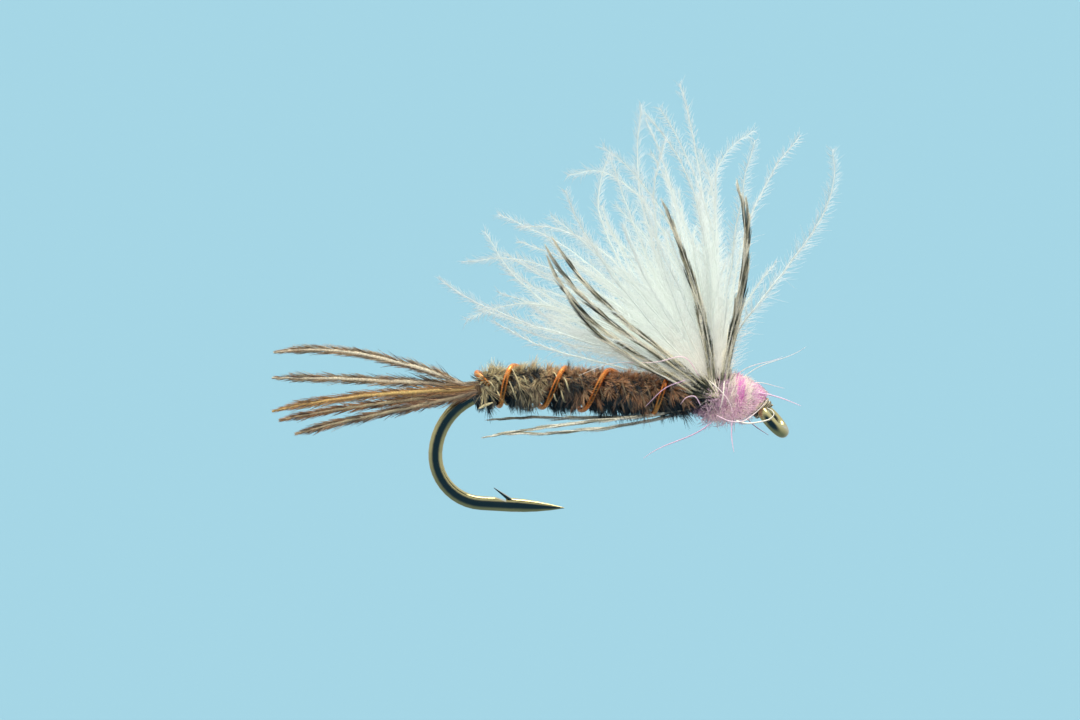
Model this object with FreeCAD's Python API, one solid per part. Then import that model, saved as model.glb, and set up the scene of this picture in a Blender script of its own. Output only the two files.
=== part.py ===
import FreeCAD, Part
import math
import os
import random

# Dry fly: a down-eye hook dressed with a five-barb tail, a wound herl body ribbed with copper wire,
# an upright fan wing of downy barbs, speckled leg barbs, a dubbed thorax and a thread head.
# Millimetres. The origin is the centre of the hook's eye, +X is forward along the shank, +Z is up,
# and +Y is the fly's left. The hook's own plane is XZ.

Vec = FreeCAD.Vector

# Hook
WIRE_R = 0.235
EYE_WIRE_R = 0.19
EYE_RING_R = 0.53
EYE_LAND_R = 0.35
EYE_DROP_DEG = 44
EYE_TWIST_DEG = 8
EYE_SLIT = 0.025
EYE_SLIT_TURN_DEG = 34
NECK_BEND_R = 0.45
SHANK_Z = 0.57
GAP = 3.93
REAR_X = -11.17
BEND_TOP_R = 2.90
BEND_TOP_DEG = 38
BEND_BACK_R = 2.15
POINT_X = -6.76
POINT_TAPER = 1.84
POINT_TIP_R = 0.012
BARB_TIP = (-9.15, -2.82)
BARB_ROOT = (-8.50, -3.24)
BARB_ROOT_HALF_SIZE = (0.15, 0.065)
BARB_TIP_HALF_SIZE = (0.015, 0.01)
BARB_NOTCH = ((-9.20, -3.10), (-8.74, -3.10), (-8.70, -3.25))

# Free fibres: how hard their ends pull the curve, how early they fan out, and where they are thickest
FIBRE_PULL = 0.36
FIBRE_FAN_SHARES = (0.18, 0.30)
FIBRE_THICKEST_AT = 0.4
FIBRE_SECTIONS = 10

# Body: its centre rides above the shank, because the tail's butts are lashed along the top
BODY_LIFT = 0.09
BODY_REAR = -1.30
BODY_FRONT = 5.60
UNDERBODY_PROFILE = ((-1.30, 0.335), (-0.80, 0.35), (0.0, 0.37), (1.6, 0.40), (4.4, 0.40), (5.58, 0.38))
CLEAR = 0.01
STEPS_PER_TURN = 12
HERL_R = 0.085
HERL_STRANDS = 6
HERL_LEAD = 1.62
HERL_REAR = -1.12
RIB_R = 0.093
# stations of the rib each half turn from front to rear, starting on top
RIB_HALF_TURNS = (5.05, 4.50, 3.00, 2.15, 1.55, 0.83, -0.15, -0.72, -1.16)

# Tail barbs: place around the shank in degrees, launch and arrival angles, tip x, z and y
BUTT_R = 0.055
BUTT_RING_R = WIRE_R + CLEAR + BUTT_R
TAIL_MIDDLE_R = 0.085
TAIL_TIP_R = 0.022
TAIL_BARBS = (
    (0, 166, 193, -16.75, 1.27, 0.10),
    (-32, 179, 184, -16.80, 0.35, 0.80),
    (32, 187, 197, -16.64, -0.58, -0.90),
    (-64, 193, 196, -16.52, -1.12, 1.25),
    (64, 198, 199, -15.85, -1.32, -0.65),
)
BUTT_FRONTS = (1.9, 1.2, 1.6, 0.9, 1.1)
BUTT_STEPS = 4
TAIL_STEPS = 6
TAIL_SECTIONS = 14
CHANNEL_SECTIONS = 24

# Wing: launch and arrival angles, then tip x, z and y of the barbs that set its outline
WING_CENTRE = (-1.98, 0.90)
WING_FAN_R = 0.43
WING_FAN_DEG = (166, 78)
WING_HALF_WIDTH = 0.30
WING_ROW = 8
WING_ROOT_R = 0.025
WING_TIP_R = 0.012
WING_OUTLINE = (
    (153, 148, -11.31, 4.12, -1.1),
    (149, 216, -10.40, 2.61, 1.3),
    (139, 195, -10.52, 4.67, 0.5),
    (152, 118, -9.93, 5.57, 1.9),
    (134, 163, -9.52, 6.37, -0.4),
    (128, 187, -8.79, 6.11, -1.4),
    (105, 205, -7.31, 7.70, 0.9),
    (134, 116, -7.38, 7.36, -1.9),
    (103, 148, -6.19, 8.81, -0.8),
    (127, 64, -5.93, 8.42, 1.7),
    (118, 83, -4.99, 10.25, 0.3),
    (97, 138, -4.88, 10.03, -1.3),
    (111, 120, -4.77, 9.62, 2.1),
    (88, 128, -4.43, 10.20, -0.6),
    (95, 109, -3.75, 10.97, 0.6),
    (119, 75, -4.20, 9.29, -2.2),
    (94, 33, -1.19, 9.56, 1.2),
    (85, 79, -1.23, 9.36, -1.0),
    (81, 50, 0.32, 9.47, 0.4),
    (81, 104, 1.39, 9.16, -0.5),
    (168, 152, -9.49, 2.67, 0.8),
)
WING_SECTIONS = 8
# the shorter barbs between them: how far back they stand, how long they are and how far they fan
FILLERS = 52
FILLER_LEAN = (92, 165)
FILLER_REACH = (4.6, 8.6)
FILLER_SPREAD = 0.28
FILLER_LAUNCH_MIDDLE = 108
FILLER_LEAN_MIDDLE = 112
FILLER_LAUNCH_SHARE = 0.75
FILLER_WANDER = (3, 6, 24)
WING_SEED = 3
FIBRE_SPACING = 0.062
WING_NODES = (
    ("cdc_barbs_rear_low", 147),
    ("cdc_barbs_rear", 138),
    ("cdc_barbs_rear_mid", 128),
    ("cdc_barbs_mid", 112),
    ("cdc_barbs_upright", 96),
    ("cdc_barbs_front", 0),
)

# Leg barbs: root x, y and z, launch and arrival angles, then tip x, z and y
HACKLE_ROOT_R = 0.036
HACKLE_TIP_R = 0.016
HACKLE_BARBS = (
    (-2.24, -0.40, 1.02, 143, 125, -7.59, 5.63, -1.35),
    (-2.34, -0.42, 0.92, 144, 122, -7.83, 5.42, -1.75),
    (-2.44, -0.40, 0.80, 150, 117, -7.77, 5.04, -1.45),
    (-2.50, -0.43, 0.68, 151, 122, -7.12, 4.02, -1.95),
    (-2.00, -0.40, 1.06, 99, 116, -4.11, 7.11, -1.60),
    (-2.11, -0.42, 0.98, 101, 113, -3.82, 6.58, -1.25),
    (-1.80, -0.40, 1.08, 86, 109, -1.70, 7.88, -1.35),
    (-1.68, -0.42, 1.00, 84, 100, -1.38, 7.30, -0.95),
    (-2.30, 0.40, 1.02, 149, 177, -8.29, 3.24, 1.60),
    (-2.42, 0.42, 0.90, 158, 173, -7.63, 2.88, 1.95),
)
LEG_BARBS = (
    (-2.74, -0.30, 0.24, 192, 194, -9.43, -0.99, -0.95),
    (-2.74, -0.09, 0.15, 197, 184, -8.78, -0.95, -0.30),
    (-2.74, 0.28, 0.22, 196, 188, -9.36, -0.63, 0.85),
)

# Thorax and head, all by x
THREAD_BASE = (-2.93, -1.12, 0.33)
HACKLE_BAND = (-2.93, -2.62, 0.46)
WING_BAND = (-1.40, -1.14, 0.46)
CDC_BUTTS_HALF_WIDTH = 0.33
CDC_BUTTS_DEPTH = 0.10
DUBBING_BORE_R = 0.475
DUBBING_PROFILE = ((-2.58, 0.52), (-2.20, 0.78), (-1.65, 0.88), (-1.15, 0.74), (-0.80, 0.51))
DUBBING_WINDOW = (-2.56, -1.42, 0.47, 0.62)
WINDOW_HEIGHT = 2
HEAD_REAR_X = -1.08
HEAD_MIDDLE_DEG = 68
HEAD_EYE_OVERLAP = 0.06
HEAD_PROFILE = (0.30, 0.34, 0.365, 0.35, 0.30)
GUARD_HAIR_R = 0.018
# guard hairs: root x, y and z, launch and arrival angles, then tip x, z and y
GUARD_HAIRS = (
    (-1.10, -0.30, 1.33, 55, 42, 0.93, 2.58, -0.55),
    (-1.25, 0.25, 1.42, 50, 30, 0.23, 2.10, 0.50),
    (-0.86, 0.20, 1.15, 20, -8, 0.36, 1.04, 0.45),
    (-0.74, -0.35, 0.93, 0, -20, 0.88, 0.60, -0.60),
    (-2.05, -0.50, -0.14, 225, 222, -4.24, -1.40, -1.05),
    (-1.35, -0.60, 0.00, 262, 285, -1.25, -1.05, -0.85),
    (-1.00, 0.55, 0.20, 300, 330, -0.05, -0.62, 0.95),
)


def xz(x, z, y=0.0):
    return Vec(x, y, z)


def heading(degrees):
    """Unit vector in the hook's plane: 0 is forward and 90 is up."""
    angle = math.radians(degrees)
    return Vec(math.cos(angle), 0, math.sin(angle))


def arc(centre, radius, start_deg, end_deg):
    ends_and_middle = [start_deg, (start_deg + end_deg) / 2, end_deg]
    points = [centre + heading(degrees) * radius for degrees in ends_and_middle]
    return Part.Arc(*points).toShape()


def ring(centre, along, side, radius):
    """A circle square to along, whose seam lies towards side, so that rings in a row don't twist."""
    flat = Part.Wire([Part.makeCircle(radius)])
    flat.Placement = FreeCAD.Placement(centre, FreeCAD.Rotation(side, along.cross(side), along, "ZXY"))
    return flat


def spline(points):
    curve = Part.BSplineCurve()
    curve.interpolate(points)
    return curve


def fibre(curve, root_r, middle_r, tip_r, sections=FIBRE_SECTIONS):
    """A round tapering fibre along a curve, thickest between its root and its middle."""
    side = Vec(0, 1, 0)
    rings = []
    for step in range(sections + 1):
        part_way = step / sections
        at = curve.FirstParameter + part_way * (curve.LastParameter - curve.FirstParameter)
        along = curve.tangent(at)[0]
        side = (side - along * side.dot(along)).normalize()
        to_middle = part_way / FIBRE_THICKEST_AT
        to_tip = (part_way - FIBRE_THICKEST_AT) / (1 - FIBRE_THICKEST_AT)
        if to_middle < 1:
            radius = root_r + (middle_r - root_r) * to_middle
        else:
            radius = middle_r + (tip_r - middle_r) * to_tip
        rings.append(ring(curve.value(at), along, side, radius))
    return Part.makeLoft(rings, True, True)


def sweeping_curve(root, launch_deg, arrival_deg, tip):
    """A cubic from root to tip that leaves and arrives at these angles in side view, and fans out in y."""
    pull = FIBRE_PULL * (tip - root).Length
    root_share, tip_share = FIBRE_FAN_SHARES
    leave = root + heading(launch_deg) * pull + Vec(0, root_share * (tip.y - root.y), 0)
    arrive = tip - heading(arrival_deg) * pull - Vec(0, tip_share * (tip.y - root.y), 0)
    curve = Part.BezierCurve()
    curve.setPoles([root, leave, arrive, tip])
    return curve


def disc(x, centre_z, radius, length):
    return Part.makeCylinder(radius, length, xz(x, centre_z), Vec(1, 0, 0))


# Shank and bend

BEND_START_X = REAR_X + BEND_BACK_R + (BEND_TOP_R - BEND_BACK_R) * math.sin(math.radians(BEND_TOP_DEG))
SPEAR_Z = SHANK_Z - GAP
TOP_CENTRE = xz(BEND_START_X, SHANK_Z - BEND_TOP_R)
BACK_CENTRE = TOP_CENTRE + heading(90 + BEND_TOP_DEG) * (BEND_TOP_R - BEND_BACK_R)
LOWER_R = BACK_CENTRE.z - SPEAR_Z
LOWER_CENTRE = xz(REAR_X + LOWER_R, BACK_CENTRE.z)
TAPER_X = POINT_X - POINT_TAPER
DROP = heading(-EYE_DROP_DEG)
EYE_FACING = math.radians(EYE_TWIST_DEG)
EYE_AXIS = heading(90 - EYE_DROP_DEG) * math.cos(EYE_FACING) + Vec(0, -math.sin(EYE_FACING), 0)
NECK_RISE = NECK_BEND_R * (1 - math.cos(math.radians(EYE_DROP_DEG)))
NECK_START = DROP * (-(SHANK_Z - NECK_RISE) / math.sin(math.radians(EYE_DROP_DEG)))
NECK_CENTRE = NECK_START + heading(270 - EYE_DROP_DEG) * NECK_BEND_R
SHANK_FRONT = NECK_CENTRE + heading(90) * NECK_BEND_R


def shank_frame(station):
    """The shank's centre, its direction and the one above it, so many millimetres ahead of the bend."""
    if station >= 0:
        return xz(BEND_START_X + station, SHANK_Z), heading(0), heading(90)
    turned = math.degrees(-station / BEND_TOP_R)
    return TOP_CENTRE + heading(90 + turned) * BEND_TOP_R, heading(turned), heading(90 + turned)


def around_shank(station, degrees, radius, lift):
    """A point round the shank: degrees run from the top towards the fly's right, about a raised centre."""
    centre, _, up = shank_frame(station)
    angle = math.radians(degrees)
    return centre + up * (lift + radius * math.cos(angle)) - Vec(0, radius * math.sin(angle), 0)


def shank_path(front_x):
    front = xz(front_x, SHANK_Z)
    bend_start = xz(BEND_START_X, SHANK_Z)
    straight = Part.LineSegment(front, bend_start).toShape()
    return [straight, arc(TOP_CENTRE, BEND_TOP_R, 90, 90 + BEND_TOP_DEG)]


def swept_wire(path, start, radius):
    profile = Part.Wire([Part.makeCircle(radius, start, Vec(1, 0, 0))])
    return Part.Wire(path).makePipeShell([profile], True, False)


def neck():
    """From the eye up to the shank, growing from the thin end's radius to the wire's."""
    side = Vec(0, 1, 0)
    rings = [ring(DROP * -EYE_RING_R, DROP * -1, side, EYE_WIRE_R - 0.01)]
    turns = 4
    for step in range(turns + 1):
        bearing = 90 - EYE_DROP_DEG + EYE_DROP_DEG * step / turns
        along = heading(bearing + 90)
        radius = EYE_WIRE_R + (WIRE_R - EYE_WIRE_R) * (step + 1) / (turns + 1)
        rings.append(ring(NECK_CENTRE + heading(bearing) * NECK_BEND_R, along, side, radius))
    return Part.makeLoft(rings, True, False)


def spear_point():
    """A tangent ogive turned about the spear's centre line."""
    arc_r = (WIRE_R**2 + POINT_TAPER**2) / (2 * WIRE_R)
    middle = POINT_TAPER / 2
    middle_r = math.sqrt(arc_r**2 - middle**2) - (arc_r - WIRE_R)
    corners = [xz(TAPER_X, SPEAR_Z), xz(TAPER_X, SPEAR_Z + WIRE_R)]
    corners += [xz(POINT_X, SPEAR_Z + POINT_TIP_R), xz(POINT_X, SPEAR_Z)]
    ogive = Part.Arc(corners[1], xz(TAPER_X + middle, SPEAR_Z + middle_r), corners[2]).toShape()
    edges = [Part.LineSegment(corners[0], corners[1]).toShape(), ogive]
    edges.append(Part.LineSegment(corners[2], corners[3]).toShape())
    edges.append(Part.LineSegment(corners[3], corners[0]).toShape())
    return Part.Face(Part.Wire(edges)).revolve(corners[0], Vec(1, 0, 0), 360)


def hook_barb():
    """The chip raised from the spear: wide and thick where it leaves the wire, sharp at its tip."""
    root = xz(*BARB_ROOT)
    tip = xz(*BARB_TIP)
    along = (tip - root).normalize()
    thick = along.cross(Vec(0, 1, 0))
    outlines = []
    for centre, half_size in ((root, BARB_ROOT_HALF_SIZE), (tip, BARB_TIP_HALF_SIZE)):
        half_width, half_height = half_size
        corners = [
            centre + Vec(0, half_width * y, 0) + thick * (half_height * z)
            for y, z in ((1, 1), (-1, 1), (-1, -1), (1, -1))
        ]
        outlines.append(Part.makePolygon(corners + corners[:1]))
    return Part.makeLoft(outlines, True, True)


def barb_notch():
    corners = [xz(x, z, -WIRE_R) for x, z in BARB_NOTCH]
    return Part.Face(Part.makePolygon(corners + corners[:1])).extrude(Vec(0, 2 * WIRE_R, 0))


def eye_slit():
    """The hairline where the eye's turned end closes against the neck."""
    size = 4 * EYE_WIRE_R
    slit = Part.makeBox(size, EYE_SLIT, size, Vec(-size / 2, -EYE_SLIT / 2, -size / 2))
    slit.translate(Vec(-EYE_RING_R, 0, 0))
    slit.rotate(Vec(0, 0, 0), Vec(0, 0, 1), EYE_SLIT_TURN_DEG)
    slit.rotate(Vec(0, 0, 0), Vec(0, 1, 0), EYE_DROP_DEG)
    slit.rotate(Vec(0, 0, 0), DROP, EYE_TWIST_DEG)
    return slit


def hook():
    path = shank_path(SHANK_FRONT.x)
    path.append(arc(BACK_CENTRE, BEND_BACK_R, 90 + BEND_TOP_DEG, 180))
    path.append(arc(LOWER_CENTRE, LOWER_R, 180, 270))
    path.append(Part.LineSegment(xz(LOWER_CENTRE.x, SPEAR_Z), xz(TAPER_X, SPEAR_Z)).toShape())
    wire = swept_wire(path, SHANK_FRONT, WIRE_R)
    eye = Part.makeTorus(EYE_RING_R, EYE_WIRE_R, Vec(0, 0, 0), EYE_AXIS)
    spear = wire.fuse(spear_point()).cut(barb_notch()).fuse(hook_barb())
    solid = spear.fuse(neck()).fuse(eye)
    land = Part.makeCylinder(EYE_LAND_R, 2 * EYE_WIRE_R, EYE_AXIS * -EYE_WIRE_R, EYE_AXIS)
    return solid.cut(land).cut(eye_slit()).removeSplitter()


# Tail


def tail_curve(place_deg, launch_deg, arrival_deg, tip_x, tip_z, tip_y, butt_front):
    """Along the top of the shank under the thread, then out past the bend to the tip."""
    tie_in = around_shank(BODY_REAR, place_deg, BUTT_RING_R, 0)
    stations = [butt_front + (BODY_REAR - butt_front) * step / BUTT_STEPS for step in range(BUTT_STEPS)]
    points = [around_shank(station, place_deg, BUTT_RING_R, 0) for station in stations]
    free_part = sweeping_curve(tie_in, launch_deg, arrival_deg, xz(tip_x, tip_z, tip_y))
    points += [free_part.value(step / TAIL_STEPS) for step in range(TAIL_STEPS + 1)]
    return spline(points)


def tail_barbs():
    return [tail_curve(*barb, butt_front) for barb, butt_front in zip(TAIL_BARBS, BUTT_FRONTS)]


# Body


def underbody_radius(station):
    for (rear, rear_r), (front, front_r) in zip(UNDERBODY_PROFILE, UNDERBODY_PROFILE[1:]):
        if station <= front:
            return rear_r + (front_r - rear_r) * max(0.0, station - rear) / (front - rear)
    return UNDERBODY_PROFILE[-1][1]


def thread_underbody(tail_curves):
    """Thread over the shank and the tail's butts, which it holds in five channels."""
    rings = []
    for station, radius in UNDERBODY_PROFILE:
        centre, along, up = shank_frame(station)
        rings.append(ring(centre + up * BODY_LIFT, along, Vec(0, 1, 0), radius))
    sleeve = Part.makeLoft(rings, True, False)
    sleeve = sleeve.cut(swept_wire(shank_path(0), xz(0, SHANK_Z), WIRE_R + CLEAR))
    channel_r = BUTT_R + CLEAR
    for curve in tail_curves:
        sleeve = sleeve.cut(fibre(curve, channel_r, channel_r, channel_r, CHANNEL_SECTIONS))
    return sleeve


def wound_strand(points, radius):
    curve = spline(points)
    start = curve.FirstParameter
    profile = Part.Wire([Part.makeCircle(radius, curve.value(start), curve.tangent(start)[0])])
    return Part.Wire([curve.toShape()]).makePipeShell([profile], True, True)


def herl_strand(index):
    """One of the strands wound side by side, leaning back from the top on the fly's right."""
    points = []
    length = BODY_FRONT - CLEAR - HERL_R - HERL_REAR
    steps = int(STEPS_PER_TURN * length / HERL_LEAD)
    for step in range(steps + 1):
        forward = length * step / steps
        station = HERL_REAR + forward
        degrees = 360 * (forward / HERL_LEAD + index / HERL_STRANDS)
        radius = underbody_radius(station) + CLEAR + HERL_R
        points.append(around_shank(station, degrees, radius, BODY_LIFT))
    return wound_strand(points, HERL_R)


def rib_station(half_turns):
    """Station of the rib so many half turns from its front, eased between the listed ones."""
    before = min(int(half_turns), len(RIB_HALF_TURNS) - 2)
    part_way = half_turns - before
    first, second = RIB_HALF_TURNS[before], RIB_HALF_TURNS[before + 1]
    return first + (second - first) * part_way


def rib_wire():
    """Copper wire wound over the herl the other way, with turns as uneven as a hand leaves them."""
    points = []
    last = len(RIB_HALF_TURNS) - 1
    steps = STEPS_PER_TURN // 2 * last
    for step in range(steps + 1):
        half_turns = last * step / steps
        near = [rib_station(min(max(half_turns + shift, 0), last)) for shift in (-0.25, 0, 0.25)]
        station = sum(near) / len(near)
        radius = underbody_radius(station) + 2 * CLEAR + 2 * HERL_R + RIB_R
        points.append(around_shank(station, 180 * half_turns, radius, BODY_LIFT))
    return wound_strand(points, RIB_R)


# Wing


def wing_barbs():
    """Launch and arrival angles and tips: the outline's, then shorter ones to fill the fan."""
    root = xz(*WING_CENTRE)
    chance = random.Random(WING_SEED)
    barbs = [(launch, arrival, xz(x, z, y), "outline") for launch, arrival, x, z, y in WING_OUTLINE]
    front_lean, rear_lean = FILLER_LEAN
    lean_wander, launch_wander, arrival_wander = FILLER_WANDER
    for step in range(FILLERS):
        lean = front_lean + (rear_lean - front_lean) * (step + 0.5) / FILLERS
        lean += chance.uniform(-lean_wander, lean_wander)
        reach = chance.uniform(*FILLER_REACH)
        spread = chance.uniform(-FILLER_SPREAD, FILLER_SPREAD) * reach
        launch = FILLER_LAUNCH_MIDDLE + FILLER_LAUNCH_SHARE * (lean - FILLER_LEAN_MIDDLE)
        launch += chance.uniform(-launch_wander, launch_wander)
        arrival = lean + chance.uniform(-arrival_wander, arrival_wander)
        barbs.append((launch, arrival, root + heading(lean) * reach + Vec(0, spread, 0), "filler"))
    return barbs


def wing_lean(barb):
    """How far back a barb stands: mostly its launch angle, and partly where its tip is."""
    launch, _, tip, _ = barb
    tip_angle = math.degrees(math.atan2(tip.z - WING_CENTRE[1], tip.x - WING_CENTRE[0]))
    return 0.7 * launch + 0.3 * tip_angle


def wing_curves():
    """Roots stand in rows over an arch from rear to front, and a filler that would touch is left out."""
    barbs = sorted(wing_barbs(), key=wing_lean, reverse=True)
    columns = math.ceil(len(barbs) / WING_ROW)
    placed = []
    for column in range(columns):
        group = sorted(barbs[column * WING_ROW : (column + 1) * WING_ROW], key=lambda barb: barb[2].y)
        place = WING_FAN_DEG[0] + (WING_FAN_DEG[1] - WING_FAN_DEG[0]) * column / (columns - 1)
        row_centre = xz(*WING_CENTRE) + heading(place) * WING_FAN_R
        for row, barb in enumerate(group):
            launch, arrival, tip, role = barb
            root = row_centre + Vec(0, WING_HALF_WIDTH * (2 * row / (WING_ROW - 1) - 1), 0)
            placed.append((role, wing_lean(barb), sweeping_curve(root, launch, arrival, tip)))
    placed.sort(key=lambda barb: barb[0] == "filler")
    standing = [curve.toShape() for curve in free_curves(HACKLE_BARBS)]
    kept = []
    for role, lean, curve in placed:
        edge = curve.toShape()
        if role == "outline" or all(edge.distToShape(other)[0] > FIBRE_SPACING for other in standing):
            standing.append(edge)
            kept.append((lean, curve))
    return kept


def wing_nodes():
    nodes = {}
    for lean, curve in wing_curves():
        name = next(name for name, least in WING_NODES if lean >= least)
        barb = fibre(curve, WING_ROOT_R, WING_ROOT_R, WING_TIP_R, WING_SECTIONS)
        nodes.setdefault(name, []).append(barb)
    return {name: Part.makeCompound(barbs) for name, barbs in nodes.items()}


def cdc_butts():
    """The wing barbs' butts, pressed into one arched pad that sits on the thread base."""
    x, z = WING_CENTRE
    width = 2 * CDC_BUTTS_HALF_WIDTH
    arch_r = WING_FAN_R - CLEAR
    arch = Part.makeCylinder(arch_r, width, xz(x, z, -CDC_BUTTS_HALF_WIDTH), Vec(0, 1, 0))
    size = 4 * arch_r
    below = Part.makeBox(size, size, size, Vec(x - size / 2, -size / 2, z - CDC_BUTTS_DEPTH - size))
    return arch.cut(below).cut(disc(x - 1, SHANK_Z, THREAD_BASE[2] + CLEAR, 2))


# Legs, thorax and head


def free_curves(barbs):
    return [
        sweeping_curve(Vec(x, y, z), launch, arrival, xz(tip_x, tip_z, tip_y))
        for x, y, z, launch, arrival, tip_x, tip_z, tip_y in barbs
    ]


def thread_base():
    rear, front, radius = THREAD_BASE
    return disc(rear, SHANK_Z, radius, front - rear).cut(disc(rear, SHANK_Z, WIRE_R + CLEAR, front - rear))


def thread_band(rear, front, radius):
    """Turns piled over the thread base, centred on the body rather than on the shank."""
    outer = disc(rear, SHANK_Z + BODY_LIFT, radius, front - rear)
    return outer.cut(disc(rear, SHANK_Z, THREAD_BASE[2] + CLEAR, front - rear))


def thorax_dubbing():
    """A wound fur ball, open on top where the wing and the leg barbs stand."""
    axis_z = SHANK_Z + BODY_LIFT
    outline = [xz(x, axis_z + radius) for x, radius in DUBBING_PROFILE]
    bore = [xz(outline[-1].x, axis_z + DUBBING_BORE_R), xz(outline[0].x, axis_z + DUBBING_BORE_R)]
    edges = [spline(outline).toShape()]
    for start, end in zip([outline[-1]] + bore, bore + [outline[0]]):
        edges.append(Part.LineSegment(start, end).toShape())
    ball = Part.Face(Part.Wire(edges)).revolve(xz(0, axis_z), Vec(1, 0, 0), 360)
    rear, front, half_width, bottom = DUBBING_WINDOW
    window = Part.makeBox(front - rear, 2 * half_width, WINDOW_HEIGHT, Vec(rear, -half_width, bottom))
    return ball.cut(window)


def head_thread_wraps(hook_solid):
    """Tapered turns from the shank down the neck to the back of the eye."""
    side = Vec(0, 1, 0)
    radii = iter(HEAD_PROFILE)
    rings = [ring(xz(HEAD_REAR_X, SHANK_Z), heading(180), side, next(radii))]
    for bearing in (90, HEAD_MIDDLE_DEG, 90 - EYE_DROP_DEG):
        centre = NECK_CENTRE + heading(bearing) * NECK_BEND_R
        rings.append(ring(centre, heading(bearing + 90), side, next(radii)))
    eye_rear = DROP * -(EYE_RING_R - HEAD_EYE_OVERLAP)
    rings.append(ring(eye_rear, DROP * -1, side, next(radii)))
    return Part.makeLoft(rings, True, False).cut(hook_solid)


def save(shape, node):
    shape.exportStep(f"parts/{node}.step")


def main():
    os.makedirs("parts", exist_ok=True)
    hook_solid = hook()
    save(hook_solid, "hook")
    tail_curves = tail_barbs()
    for number, curve in enumerate(tail_curves, 1):
        save(fibre(curve, BUTT_R, TAIL_MIDDLE_R, TAIL_TIP_R, TAIL_SECTIONS), f"tail_barb_{number}")
    save(thread_underbody(tail_curves), "thread_underbody")
    for index in range(HERL_STRANDS):
        save(herl_strand(index), f"herl_strand_{index + 1}")
    save(rib_wire(), "rib_wire")
    save(thread_base(), "thorax_thread_base")
    save(thread_band(*HACKLE_BAND), "hackle_thread_wraps")
    save(thread_band(*WING_BAND), "wing_thread_wraps")
    save(cdc_butts(), "cdc_butts")
    for name, barbs in wing_nodes().items():
        save(barbs, name)
    for number, curve in enumerate(free_curves(HACKLE_BARBS), 1):
        save(fibre(curve, HACKLE_ROOT_R, HACKLE_ROOT_R, HACKLE_TIP_R), f"hackle_barb_{number}")
    for number, curve in enumerate(free_curves(LEG_BARBS), 1):
        save(fibre(curve, HACKLE_ROOT_R, HACKLE_ROOT_R, HACKLE_TIP_R), f"leg_barb_{number}")
    save(thorax_dubbing(), "thorax_dubbing")
    hairs = [fibre(curve, GUARD_HAIR_R, GUARD_HAIR_R, 0.01) for curve in free_curves(GUARD_HAIRS)]
    save(Part.makeCompound(hairs), "dubbing_guard_hairs")
    save(head_thread_wraps(hook_solid), "head_thread_wraps")


main()
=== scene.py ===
import math
from functools import partial
import bpy
import numpy as np
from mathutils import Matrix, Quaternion, Vector


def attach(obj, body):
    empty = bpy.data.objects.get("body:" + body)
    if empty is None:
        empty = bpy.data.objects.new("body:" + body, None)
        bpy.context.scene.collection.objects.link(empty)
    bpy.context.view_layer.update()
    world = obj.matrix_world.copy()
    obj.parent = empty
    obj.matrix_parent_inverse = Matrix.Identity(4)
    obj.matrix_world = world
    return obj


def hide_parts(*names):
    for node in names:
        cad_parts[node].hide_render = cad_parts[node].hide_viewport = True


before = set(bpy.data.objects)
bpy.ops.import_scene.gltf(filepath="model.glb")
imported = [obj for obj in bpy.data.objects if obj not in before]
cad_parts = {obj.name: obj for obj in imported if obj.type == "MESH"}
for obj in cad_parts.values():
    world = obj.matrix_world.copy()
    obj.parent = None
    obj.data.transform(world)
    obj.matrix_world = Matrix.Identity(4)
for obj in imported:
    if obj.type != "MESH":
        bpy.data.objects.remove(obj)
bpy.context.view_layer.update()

# A dry fly seen from its right side. Places and sizes are in millimetres until a mesh is made.
MM = 0.001
SEED = 20

# The hook, as in the CAD model: its shank, bend and eye
SHANK_Z = 0.57
BEND_TOP_R = 2.9
BEND_START_X = -8.558
EYE_DROP_DEG = 44
EYE_RING_R = 0.53
NECK_BEND_R = 0.45

# Body, as in the CAD model. Stations are millimetres ahead of the bend. The tail's butts lift its axis.
BODY_LIFT = 0.09
UNDERBODY_STATIONS = (-1.3, -0.8, 0, 1.6, 4.4, 5.58)
UNDERBODY_RADII = (0.335, 0.35, 0.37, 0.4, 0.4, 0.38)
CLEAR = 0.01
HERL_R = 0.085
HERL_STRANDS = 6
HERL_LEAD = 1.62
HERL_REAR = -1.12
HERL_LENGTH = 6.62
RIB_R = 0.093
# the station of the rib at each half turn, from its front end on top of the body
RIB_HALF_TURNS = (5.05, 4.5, 3, 2.15, 1.55, 0.83, -0.15, -0.72, -1.16)

# Thorax and head: the fur's reach above and below its axis, and the thread's radius down the neck
FUR_AXIS_Z = 0.66
FUR_X = (-3, -2.75, -2.35, -1.95, -1.35, -0.85, -0.5, -0.2)
FUR_TOP = (0.42, 0.5, 0.64, 0.82, 0.84, 0.68, 0.47, 0.22)
FUR_BOTTOM = (0.42, 0.62, 0.84, 0.86, 0.84, 0.66, 0.44, 0.26)
HEAD_X = -1.08
HEAD_RADII = (0.3, 0.34, 0.365, 0.35, 0.31)

# The rings of vertices in each kind of CAD barb, and a point near the barbs' roots
WING_RINGS = 9
BARB_RINGS = 11
TAIL_RINGS = 15
THORAX = (-2.2, 0, 0.8)
TAIL_BUTTS = (-5, 0, 0.9)


def paint(red, green, blue):
    """Linear RGB from everyday 0 to 255 values."""
    return np.array([((c / 255 + 0.055) / 1.055) ** 2.4 for c in (red, green, blue)])


def draws(number):
    return np.random.default_rng(SEED + number)


def unit(vectors):
    return vectors / np.linalg.norm(vectors, axis=-1, keepdims=True)


def clamp(values):
    return np.clip(values, 0, 1)


def cos_of(degrees):
    return np.cos(np.radians(degrees))


def dot(first, second):
    return np.sum(first * second, axis=-1, keepdims=True)


def blend(first, second, share):
    """From first to second as share goes from 0 to 1, for colours or points."""
    share = np.asarray(share)[..., None]
    return first * (1 - share) + second * share


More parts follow.
